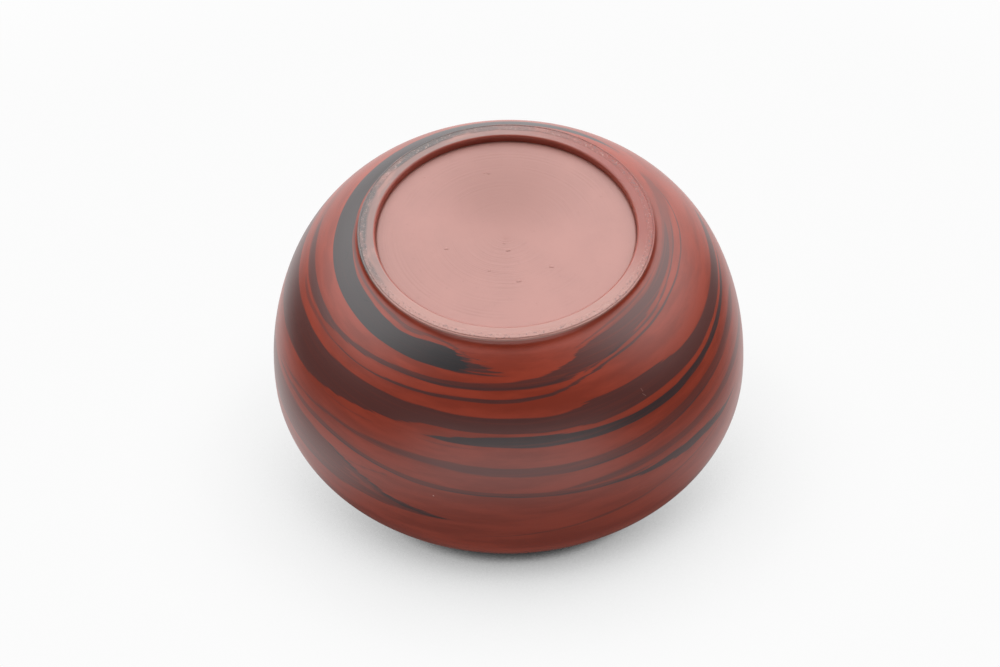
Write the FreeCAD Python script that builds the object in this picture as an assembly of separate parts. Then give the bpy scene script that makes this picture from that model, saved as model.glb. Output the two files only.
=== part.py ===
"""Marbled clay bowl: a round-bellied, burnished bowl thrown from red clay with darker clays through it.

The bowl stands upright on its foot ring. +Z is up and runs through the axis of the bowl, the origin
is at the centre of the foot, and the ring's worn face lies on z = 0. Bearings go round the bowl from
the side that is looked at first, and distances along the wall start at the foot ring's outer edge.
All sizes are in millimetres and all angles in degrees.
"""
import FreeCAD, Part
import math
import os
from BOPTools import SplitAPI

os.makedirs("parts", exist_ok=True)

# The bowl's outside, from the foot up to the lip.
belly_radius = 70.0
belly_height = 55.0
haunch_radius = 44.2
flank_radius = 83.7
haunch_end_angle = 19.6
shoulder_radius = 15.0
shoulder_end_angle = 38.0
neck_radius = 48.0
lip_angle = 62.0
wall_thickness = 4.8

# The turned foot.
ring_outer_radius = 42.2
ring_inner_radius = 37.1
ring_outer_rounding = 0.6
ring_inner_chamfer = 0.5
ring_side_height = 0.7
cove_length = 3.3
recess_depth = 2.2
floor_thickness = 4.8

# The dark clays show as thin seams let into the outer face.
seam_depth = 1.6
front_bearing = 275.0
bearing_step = 8.0
ray_inside = 0.9
ray_outside = 1.08

# Each seam: (bearing, distance up the wall from the foot ring, width) at stations along its middle.
seams = {
    "seam_charcoal_foot_band": [
        (-226, 7.2, 0.8), (-200, 6.6, 3.6), (-150, 6.2, 5.2), (-90, 6.2, 5.0), (-55, 6.6, 5.2),
        (-30, 6.8, 5.4), (-17, 6.6, 4.6)],
    "seam_umber_foot_streak": [
        (-170, 20.5, 0.8), (-125, 18.2, 3.4), (-80, 17.0, 3.2), (-45, 14.2, 2.4), (-15, 12.6, 2.2),
        (4, 11.6, 2.8), (22, 9.0, 3.8), (36, 7.2, 3.2), (48, 6.4, 0.8)],
    "seam_smoky_foot_haze": [
        (54, 6.2, 0.8), (66, 5.8, 3.2), (90, 5.6, 3.4), (108, 6.0, 2.2), (122, 6.4, 0.7)],
    "seam_dark_foot_line": [
        (-62, 19.2, 0.7), (-35, 17.0, 1.2), (-8, 15.8, 1.5), (12, 14.4, 1.4), (32, 11.6, 1.2),
        (60, 9.8, 1.2), (90, 9.4, 1.2), (118, 10.4, 0.7)],
    "seam_wide_umber_band": [
        (-214, 30.0, 1.2), (-180, 29.5, 7.0), (-130, 28.4, 10.5), (-85, 28.0, 11.0), (-60, 27.2, 9.6),
        (-38, 24.6, 6.6), (-15, 23.2, 4.4), (8, 22.8, 4.4), (30, 22.4, 6.4), (52, 23.2, 5.8),
        (80, 23.2, 3.8), (105, 23.0, 2.4), (128, 22.4, 0.8)],
    "seam_charcoal_ribbon": [
        (-24, 28.4, 0.7), (-8, 27.9, 2.2), (14, 28.6, 2.0), (36, 29.4, 2.6), (60, 28.7, 2.1),
        (86, 27.4, 1.6), (112, 26.6, 0.7)],
    "seam_soft_umber_band": [
        (-72, 41.2, 0.7), (-48, 38.2, 1.4), (-22, 36.0, 1.8), (2, 36.8, 2.8), (28, 37.4, 2.8),
        (56, 35.6, 2.4), (84, 33.6, 2.2), (122, 33.0, 0.8)],
    "seam_long_charcoal_line": [
        (-84, 44.8, 0.7), (-55, 42.4, 1.5), (-25, 43.4, 1.3), (5, 44.8, 1.4), (26, 46.6, 1.6),
        (44, 49.4, 2.8), (58, 50.4, 2.4), (70, 51.8, 0.7)],
    "seam_umber_shoulder_patch": [
        (-176, 51.0, 1.0), (-140, 51.6, 5.8), (-100, 52.4, 9.0), (-66, 52.4, 10.4), (-44, 53.2, 8.2),
        (-30, 55.0, 3.2), (-16, 55.6, 0.8)],
    "seam_umber_back_band": [
        (140, 46.0, 0.8), (165, 44.4, 4.2), (195, 42.8, 6.0), (226, 42.0, 4.0), (252, 42.8, 0.8)],
}


def along(angle):
    """Unit (radius, height) pair that points out of the wall at an angle below the horizontal."""
    return math.cos(math.radians(angle)), -math.sin(math.radians(angle))


def off(centre, reach, angle):
    """The (radius, height) point at a reach from a centre, at an angle below the horizontal."""
    out, up = along(angle)
    return centre[0] + reach * out, centre[1] + reach * up


flank_centre = (belly_radius - flank_radius, belly_height)
haunch_centre = off(flank_centre, flank_radius - haunch_radius, haunch_end_angle)
shoulder_centre = (belly_radius - shoulder_radius, belly_height)
neck_centre = off(shoulder_centre, shoulder_radius - neck_radius, -shoulder_end_angle)
foot_angle = math.degrees(math.acos((ring_outer_radius - haunch_centre[0]) / haunch_radius))
cove_end_angle = foot_angle - math.degrees(cove_length / haunch_radius)
floor_height = recess_depth + floor_thickness
inner_haunch_angle = foot_angle - 15.0


def vector(point):
    return FreeCAD.Vector(point[0], 0, point[1])


def arc(centre, reach, start, end):
    """Arc of the profile from one angle to another, both below the horizontal."""
    points = [vector(off(centre, reach, angle)) for angle in (start, (start + end) / 2, end)]
    return Part.Arc(*points).toShape()


def line(start, end):
    return Part.makeLine(vector(start), vector(end))


def bezier(points):
    curve = Part.BezierCurve()
    curve.setPoles([vector(point) for point in points])
    return curve.toShape()


def revolved(edges):
    """Solid of revolution from the closed loop of a half profile."""
    face = Part.Face(Part.Wire(Part.__sortEdges__(edges)))
    return face.revolve(FreeCAD.Vector(0, 0, 0), FreeCAD.Vector(0, 0, 1), 360)


def outer_arcs(depth, low_angle):
    """The wall's outer face, or the curve a depth inside it, from the foot end up to the lip."""
    return [
        arc(haunch_centre, haunch_radius - depth, low_angle, haunch_end_angle),
        arc(flank_centre, flank_radius - depth, haunch_end_angle, 0),
        arc(shoulder_centre, shoulder_radius - depth, 0, -shoulder_end_angle),
        arc(neck_centre, neck_radius - depth, -shoulder_end_angle, -lip_angle),
    ]


def lip():
    """Round lip that joins the outer face to the inner face."""
    outer = off(neck_centre, neck_radius, -lip_angle)
    inner = off(neck_centre, neck_radius - wall_thickness, -lip_angle)
    middle = off(neck_centre, neck_radius - wall_thickness / 2, -lip_angle)
    top = off(middle, wall_thickness / 2, -lip_angle - 90)
    return Part.Arc(vector(outer), vector(top), vector(inner)).toShape()


def cove():
    """Hollow where the foot ring runs into the haunch."""
    start = (ring_outer_radius, ring_side_height)
    end = off(haunch_centre, haunch_radius, cove_end_angle)
    out, up = along(cove_end_angle - 90)
    reach = 0.45 * cove_length
    return bezier([
        start,
        (start[0] + 0.1 * reach, start[1] + reach),
        (end[0] - reach * out, end[1] - reach * up),
        end,
    ])


def foot_edges():
    """The ring's side, worn face and inner wall, up to the inside of the bowl."""
    side = (ring_outer_radius, ring_side_height)
    outer = (ring_outer_radius - ring_outer_rounding, 0)
    inner = (ring_inner_radius + ring_inner_chamfer, 0)
    chamfer = (ring_inner_radius, ring_inner_chamfer)
    top = (ring_inner_radius, floor_height)
    turn = (
        ring_outer_radius - 0.3 * ring_outer_rounding,
        0.3 * ring_side_height,
    )
    rounding = Part.Arc(vector(side), vector(turn), vector(outer)).toShape()
    return [rounding, line(outer, inner), line(inner, chamfer), line(chamfer, top)]


def inside_bend():
    """Easy curve from the flat inside floor up into the inner haunch."""
    start = (ring_inner_radius, floor_height)
    end = off(haunch_centre, haunch_radius - wall_thickness, inner_haunch_angle)
    out, up = along(inner_haunch_angle - 90)
    reach = 0.4 * (end[0] - start[0])
    return bezier([
        start,
        (start[0] + reach, start[1]),
        (end[0] - reach * out, end[1] - reach * up),
        end,
    ])


def plain_wall():
    """The whole thrown wall with its foot ring, before the dark seams are let in."""
    edges = outer_arcs(0, cove_end_angle) + [lip()]
    edges += outer_arcs(wall_thickness, inner_haunch_angle)
    edges += [inside_bend(), cove()] + foot_edges()
    return revolved(edges)


def base_disc():
    """Plain red disc that closes the foot, a little up inside the ring."""
    return Part.makeCylinder(
        ring_inner_radius, floor_thickness, FreeCAD.Vector(0, 0, recess_depth)
    )


def seam_skin():
    """The outer layer of the wall, as deep as the seams go."""
    low = cove_end_angle
    outer_low = off(haunch_centre, haunch_radius, low)
    inner_low = off(haunch_centre, haunch_radius - seam_depth, low)
    outer_high = off(shoulder_centre, shoulder_radius, -shoulder_end_angle)
    inner_high = off(shoulder_centre, shoulder_radius - seam_depth, -shoulder_end_angle)
    edges = outer_arcs(0, low)[:3] + outer_arcs(seam_depth, low)[:3]
    edges += [line(outer_low, inner_low), line(outer_high, inner_high)]
    return revolved(edges)


def wall_point(bearing, distance):
    """Point on the outer face at a bearing and a distance along the wall from the foot ring."""
    haunch_length = math.radians(foot_angle - haunch_end_angle) * haunch_radius
    if distance < haunch_length:
        angle = foot_angle - math.degrees(distance / haunch_radius)
        radius, height = off(haunch_centre, haunch_radius, angle)
    else:
        angle = haunch_end_angle - math.degrees((distance - haunch_length) / flank_radius)
        radius, height = off(flank_centre, flank_radius, angle)
    turn = math.radians(front_bearing - bearing)
    return FreeCAD.Vector(radius * math.cos(turn), radius * math.sin(turn), height)


def station_at(stations, bearing):
    """Distance up the wall and width of a seam, eased between its stations."""
    for near, far in zip(stations, stations[1:]):
        if bearing <= far[0]:
            share = (bearing - near[0]) / (far[0] - near[0])
            share = (1 - math.cos(math.pi * share)) / 2
            return near[1] + share * (far[1] - near[1]), near[2] + share * (far[2] - near[2])
    return stations[-1][1], stations[-1][2]


def seam_edges(stations):
    """The two long edges of a seam on the wall's outer face, as rows of points."""
    start, end = stations[0][0], stations[-1][0]
    count = max(6, round((end - start) / bearing_step))
    low, high = [], []
    for step in range(count + 1):
        bearing = start + (end - start) * step / count
        distance, width = station_at(stations, bearing)
        low.append(wall_point(bearing, distance - width / 2))
        high.append(wall_point(bearing, distance + width / 2))
    return low, high


def ray_face(points, smooth):
    """Face that runs through a row of points along rays from the middle of the belly."""
    centre = FreeCAD.Vector(0, 0, belly_height)
    rims = []
    for scale in (ray_inside, ray_outside):
        moved = [centre + (point - centre) * scale for point in points]
        if smooth:
            curve = Part.BSplineCurve()
            curve.interpolate(moved)
            rims.append(curve.toShape())
        else:
            rims.append(Part.makeLine(moved[0], moved[-1]))
    return Part.makeRuledSurface(*rims)


def seam(name, skin):
    """One dark seam: the part of the wall's outer layer inside the seam's outline."""
    stations = seams[name]
    low, high = seam_edges(stations)
    fence = Part.makeShell([
        ray_face(low, True),
        ray_face([low[-1], high[-1]], False),
        ray_face(high, True),
        ray_face([low[0], high[0]], False),
    ])
    middle = stations[len(stations) // 2]
    inside = wall_point(middle[0], middle[1])
    centre = FreeCAD.Vector(0, 0, belly_height)
    probe = inside + (centre - inside).normalize() * seam_depth / 2
    pieces = SplitAPI.slice(skin, [fence], "Split").Solids
    found = [piece for piece in pieces if piece.isInside(probe, 0.001, False)]
    return min(found, key=lambda piece: piece.Volume)


def write(name, shape):
    if not shape.isValid() or not shape.Solids:
        raise ValueError(name + " isn't a sound solid")
    shape.exportStep("parts/" + name + ".step")


def main():
    skin = seam_skin()
    inlays = {name: seam(name, skin) for name in seams}
    wall = plain_wall().cut(list(inlays.values()))
    write("bowl_wall", wall)
    write("base_disc", base_disc())
    for name, inlay in inlays.items():
        write(name, inlay)


main()
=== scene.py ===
"""Marbled clay bowl: a round-bellied bowl of red clay with umber and charcoal clays through it.

The bowl is thrown, turned, burnished while leather-hard and fired without glaze. It stands upright on
its foot ring, with +Z up out of its mouth and the origin at the centre of the foot. Sizes here are in
millimetres until a mesh is made. Bearings go round the bowl from its first side, and a distance along
the wall starts at the foot ring's outer edge.
"""
import math

import bpy
from bpy.props import FloatProperty, PointerProperty, StringProperty
from mathutils import Matrix, Vector, noise


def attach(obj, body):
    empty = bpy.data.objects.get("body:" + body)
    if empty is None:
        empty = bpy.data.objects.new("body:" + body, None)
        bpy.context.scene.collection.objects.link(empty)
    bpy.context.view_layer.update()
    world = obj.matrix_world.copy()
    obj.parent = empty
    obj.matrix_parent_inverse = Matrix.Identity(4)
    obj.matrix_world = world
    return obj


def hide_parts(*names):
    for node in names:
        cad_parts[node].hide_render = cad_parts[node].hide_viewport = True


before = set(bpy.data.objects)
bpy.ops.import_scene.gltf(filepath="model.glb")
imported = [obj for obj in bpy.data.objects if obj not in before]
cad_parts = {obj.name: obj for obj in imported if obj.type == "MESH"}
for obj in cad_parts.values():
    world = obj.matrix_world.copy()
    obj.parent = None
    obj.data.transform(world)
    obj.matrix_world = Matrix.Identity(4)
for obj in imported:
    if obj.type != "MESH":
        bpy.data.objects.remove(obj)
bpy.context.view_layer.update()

bl_info = {
    "name": "Marbled Clay Bowl",
    "version": (1, 0, 0),
    "blender": (4, 5, 0),
    "location": "3D View > Sidebar > Bowl",
    "description": "Builds a burnished bowl of marbled clays and the stage it is shown on",
    "category": "Object",
}

MM = 0.001  # one millimetre, in metres
SEAM_NODES = sorted(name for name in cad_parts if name.startswith("seam_"))


# Sizes and colours that a user would change.


class BowlSizes(bpy.types.PropertyGroup):
    """Sizes of the thrown bowl and its turned foot."""

    belly_radius: FloatProperty(
        name="Belly radius", description="From the axis to the widest part of the wall, in mm",
        default=70.0, min=30.0)
    belly_height: FloatProperty(
        name="Belly height", description="From the table up to the widest part of the wall, in mm",
        default=55.0, min=20.0)
    wall: FloatProperty(
        name="Wall thickness", description="Thickness of the thrown wall, in mm", default=4.8, min=2.0)
    ring_outer: FloatProperty(
        name="Foot ring outer radius", description="Outer edge of the foot ring, in mm",
        default=42.2, min=10.0)
    ring_inner: FloatProperty(
        name="Foot ring inner radius", description="Where the recess begins, in mm",
        default=37.1, min=8.0)
    recess: FloatProperty(
        name="Recess depth", description="How far the base lies above the table, in mm",
        default=2.2, min=0.5)
    floor: FloatProperty(
        name="Floor thickness", description="Thickness of the base disc, in mm",
        default=4.8, min=2.0)


class BowlClays(bpy.types.PropertyGroup):
    """Colours of the fired clays, as sRGB hex values, and how closely they are worked."""

    red: StringProperty(
        name="Red clay", description="Colour of the main body", default="#84301D")
    red_deep: StringProperty(
        name="Deep red clay", description="Colour of the body where it is richest", default="#742715")
    umber: StringProperty(
        name="Umber clay", description="Colour of the broad brown seams", default="#4A2420")
    charcoal: StringProperty(
        name="Charcoal clay", description="Colour of the darkest seams", default="#242224")
    base: StringProperty(
        name="Base clay", description="Colour of the unmarbled base disc", default="#92635B")
    gloss: FloatProperty(
        name="Burnish", description="Roughness of the burnished wall", default=0.35,
        min=0.0, max=1.0, subtype="FACTOR")


class StageLook(bpy.types.PropertyGroup):
    """Camera of the stage, and how the turned-over bowl leans in its view."""

    lens: FloatProperty(
        name="Lens", description="Focal length of the camera", default=90.0, unit="CAMERA")
    tilt: FloatProperty(
        name="View off the foot", description="Angle between the view and the axis of the foot",
        default=math.radians(41.25), subtype="ANGLE")
    reach: FloatProperty(
        name="Camera distance", description="From the middle of the belly to the camera, in mm",
        default=748.8)
    bearing: FloatProperty(
        name="Camera bearing", description="Bearing of the camera round the bowl",
        default=math.radians(5.0), subtype="ANGLE")
    roll: FloatProperty(
        name="Camera roll", description="How far the camera is turned about its own view",
        default=math.radians(1.41), subtype="ANGLE")
    aside: FloatProperty(
        name="Camera aside", description="How far the camera stands to its left, in mm", default=2.6)
    over: FloatProperty(
        name="Camera over", description="How far the camera stands above the middle, in mm", default=6.3)
    lean: FloatProperty(
        name="Lean", description="How far the turned-over bowl leans on its lip",
        default=math.radians(14.5), subtype="ANGLE")


# The bowl's profile, as pairs of radius and height.


def off(centre, reach, angle):
    """Point at a reach from a centre, at an angle below the horizontal."""
    turn = math.radians(angle)
    return centre[0] + reach * math.cos(turn), centre[1] - reach * math.sin(turn)


class Profile:
    """Half section of the bowl: the same arcs as the solid body."""

    haunch_radius, flank_radius, haunch_end = 44.2, 83.7, 19.6
    shoulder_radius, shoulder_end = 15.0, 38.0
    neck_radius, lip_angle = 48.0, 62.0
    inner_turn = 15.0  # how many degrees sooner than the outside the inside turns into the floor
    side_height, cove_length, cove_rows = 0.7, 3.3, 8
    drawn_cove = 3.9  # length of the cove that the streaks are laid out on, in mm
    # The foot ring's rounded inner edge and its worn outer edge, as (distance from the edge, height).
    inner_edge = [(0.12, 0.42), (0.3, 0.18), (0.5, 0.05)]
    outer_edge = [(0.62, 0.22), (0.5, 0.24), (0.38, 0.08), (0.24, 0.02), (0.1, 0.12), (0.02, 0.34)]
    # Where the flat of the ring's face begins and ends, in from the two edges, and how many rows it has.
    face_start, face_end, face_rows = 0.7, 0.75, 20

    def __init__(self, sizes):
        self.sizes = sizes
        self.flank = (sizes.belly_radius - self.flank_radius, sizes.belly_height)
        self.haunch = off(self.flank, self.flank_radius - self.haunch_radius, self.haunch_end)
        self.shoulder = (sizes.belly_radius - self.shoulder_radius, sizes.belly_height)
        self.neck = off(self.shoulder, self.shoulder_radius - self.neck_radius, -self.shoulder_end)
        across = (sizes.ring_outer - self.haunch[0]) / self.haunch_radius
        self.foot_angle = math.degrees(math.acos(across))
        self.cove_end = self.foot_angle - math.degrees(self.cove_length / self.haunch_radius)
        self.inner_haunch = self.foot_angle - self.inner_turn

    def arcs(self, depth, low):
        """The wall's face, or the curve a depth inside it, from the foot end up to the lip."""
        return [
            (self.haunch, self.haunch_radius - depth, low, self.haunch_end),
            (self.flank, self.flank_radius - depth, self.haunch_end, 0),
            (self.shoulder, self.shoulder_radius - depth, 0, -self.shoulder_end),
            (self.neck, self.neck_radius - depth, -self.shoulder_end, -self.lip_angle),
        ]

    def arc_rows(self, arcs, step):
        """Points a step or so apart along arcs that follow one another."""
        rows = []
        for centre, reach, start, end in arcs:
            count = max(3, round(math.radians(abs(start - end)) * reach / step))
            for i in range(count):
                rows.append(off(centre, reach, start + (end - start) * i / count))
        rows.append(off(*arcs[-1][:2], arcs[-1][3]))
        return rows

    def bend(self, start, lean, end, angle, reach, count):
        """Easy curve between two points, with the direction of the wall at its upper end."""
        out, up = off((0, 0), 1, angle - 90)
        poles = [start, (start[0] + lean[0] * reach, start[1] + lean[1] * reach),
                 (end[0] - reach * out, end[1] - reach * up), end]
        rows = []
        for i in range(count):
            t = i / count
            share = [(1 - t) ** 3, 3 * t * (1 - t) ** 2, 3 * t * t * (1 - t), t ** 3]
            rows.append(tuple(sum(s * p[k] for s, p in zip(share, poles)) for k in (0, 1)))
        return rows

    def ring_rows(self):
        """Recess wall and the ring's worn face, out to the ring's outer edge."""
        sizes = self.sizes
        rows = [(sizes.ring_inner, sizes.recess * (1 - i / 8)) for i in range(6)]
        rows += [(sizes.ring_inner + away, height) for away, height in self.inner_edge]
        start, end = sizes.ring_inner + self.face_start, sizes.ring_outer - self.face_end
        for i in range(self.face_rows):
            rows.append((start + (end - start) * i / (self.face_rows - 1), 0.0))
        return rows + [(sizes.ring_outer - away, height) for away, height in self.outer_edge]

    def outer_rows(self, step):
        """The outer face from the ring's edge, up the cove and the belly to the lip."""
        start = (self.sizes.ring_outer, self.side_height)
        end = off(self.haunch, self.haunch_radius, self.cove_end)
        reach = 0.45 * self.cove_length
        rows = self.bend(start, (0.1, 1.0), end, self.cove_end, reach, self.cove_rows)
        return rows + self.arc_rows(self.arcs(0, self.cove_end), step)

    def lip_rows(self):
        """The rounded lip, from the outer face over to the inside."""
        middle = off(self.neck, self.neck_radius - self.sizes.wall / 2, -self.lip_angle)
        turns = [-self.lip_angle - 180 * i / 12 for i in range(1, 12)]
        return [off(middle, self.sizes.wall / 2, turn) for turn in turns]

    def inner_rows(self, step):
        """The inside from the lip down to the edge of the base disc."""
        sizes = self.sizes
        rows = self.arc_rows(self.arcs(sizes.wall, self.inner_haunch), step)[::-1]
        start = (sizes.ring_inner, sizes.recess + sizes.floor)
        reach = 0.4 * (rows[-1][0] - start[0])
        return rows + self.bend(start, (1, 0), rows[-1], self.inner_haunch, reach, 8)[::-1]


# Mesh building.

FIRST_SIDE = 275  # angle of bearing 0 round from +X, in degrees
FIRST_BEARING = -235  # where the mesh and the streaks begin, on the side that no streak crosses
UNROLLED = 100.0  # degrees of bearing, or mm of wall, in one unit of the unrolled coordinates
AROUND = 10.0  # mm of wall in one unit of the around coordinates, whose other two are a unit circle


def turned_mesh(name, rows, distances, steps, wobble=None, joined=False):
    """Closed mesh of revolution, with the bearing and the distance along the wall at every corner.

    A joined profile ends where it began. The other kind starts and ends on the axis and is capped.
    """
    points, faces, ring, values = [], [], [], []
    for row, (radius, height) in enumerate(rows):
        for i in range(steps):
            turn = math.radians(FIRST_SIDE - FIRST_BEARING - 360 * i / steps)
            across, along = math.cos(turn), math.sin(turn)
            reach = radius + (wobble(across, along, height) if wobble else 0.0)
            points.append((reach * across * MM, reach * along * MM, height * MM))
            ring.append((across, along, distances[row] / AROUND))
    for row in range(len(rows) - (0 if joined else 1)):
        above = (row + 1) % len(rows)
        for i in range(steps):
            j = (i + 1) % steps
            faces.append((row * steps + i, above * steps + i, above * steps + j, row * steps + j))
            near = (FIRST_BEARING + 360 * i / steps) / UNROLLED
            far = (FIRST_BEARING + 360 * (i + 1) / steps) / UNROLLED
            low, high = distances[row] / UNROLLED, distances[above] / UNROLLED
            values += [near, low, 0, near, high, 0, far, high, 0, far, low, 0]
    smooth = [True] * len(faces)
    if joined:
        smooth[-steps:] = [False] * steps
    else:
        last = (len(rows) - 1) * steps
        faces += [tuple(range(steps)), tuple(range(last, last + steps))[::-1]]
        values += [0] * (3 * steps * 2)
        smooth += [True, True]
    mesh = bpy.data.meshes.new(name)
    mesh.from_pydata(points, [], faces)
    unrolled = mesh.attributes.new("unrolled", "FLOAT_VECTOR", "CORNER")
    unrolled.data.foreach_set("vector", values)
    around = mesh.attributes.new("around", "FLOAT_VECTOR", "POINT")
    around.data.foreach_set("vector", [value for point in ring for value in point])
    mesh.polygons.foreach_set("use_smooth", smooth)
    mesh.update()
    return mesh


def placed(name, mesh, material, slot, *nodes):
    """Puts a piece in the scene, standing for its solids."""
    piece = bpy.data.objects.new(name, mesh)
    bpy.context.scene.collection.objects.link(piece)
    mesh.materials.append(material)
    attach(piece, "root")
    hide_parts(*nodes)


# Materials.


def linear(hex_colour):
    """Linear RGBA of an sRGB hex value."""
    parts = [int(hex_colour[i:i + 2], 16) / 255 for i in (1, 3, 5)]
    return [c / 12.92 if c <= 0.04045 else ((c + 0.055) / 1.055) ** 2.4 for c in parts] + [1.0]


def add(tree, kind, inputs=(), **settings):
    """Adds a node with its settings, and sets or links its inputs.

    Inputs come in order, or keyed by name or number. A node given as an input is linked by its first
    output that is in use.
    """
    node = tree.nodes.new(kind)
    for key, value in settings.items():
        setattr(node, key, value)
    for key, value in inputs.items() if isinstance(inputs, dict) else enumerate(inputs):
        if isinstance(value, bpy.types.Node):
            value = next(socket for socket in value.outputs if socket.enabled)
        if isinstance(value, bpy.types.NodeSocket):
            tree.links.new(value, node.inputs[key])
        else:
            node.inputs[key].default_value = value
    return node


EASY = {"interpolation_type": "SMOOTHSTEP"}  # a Map Range node's settings for an easy change


def new_material(name):
    material = bpy.data.materials.new(name)
    material.use_nodes = True
    material.node_tree.nodes.clear()
    return material, material.node_tree


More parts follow.
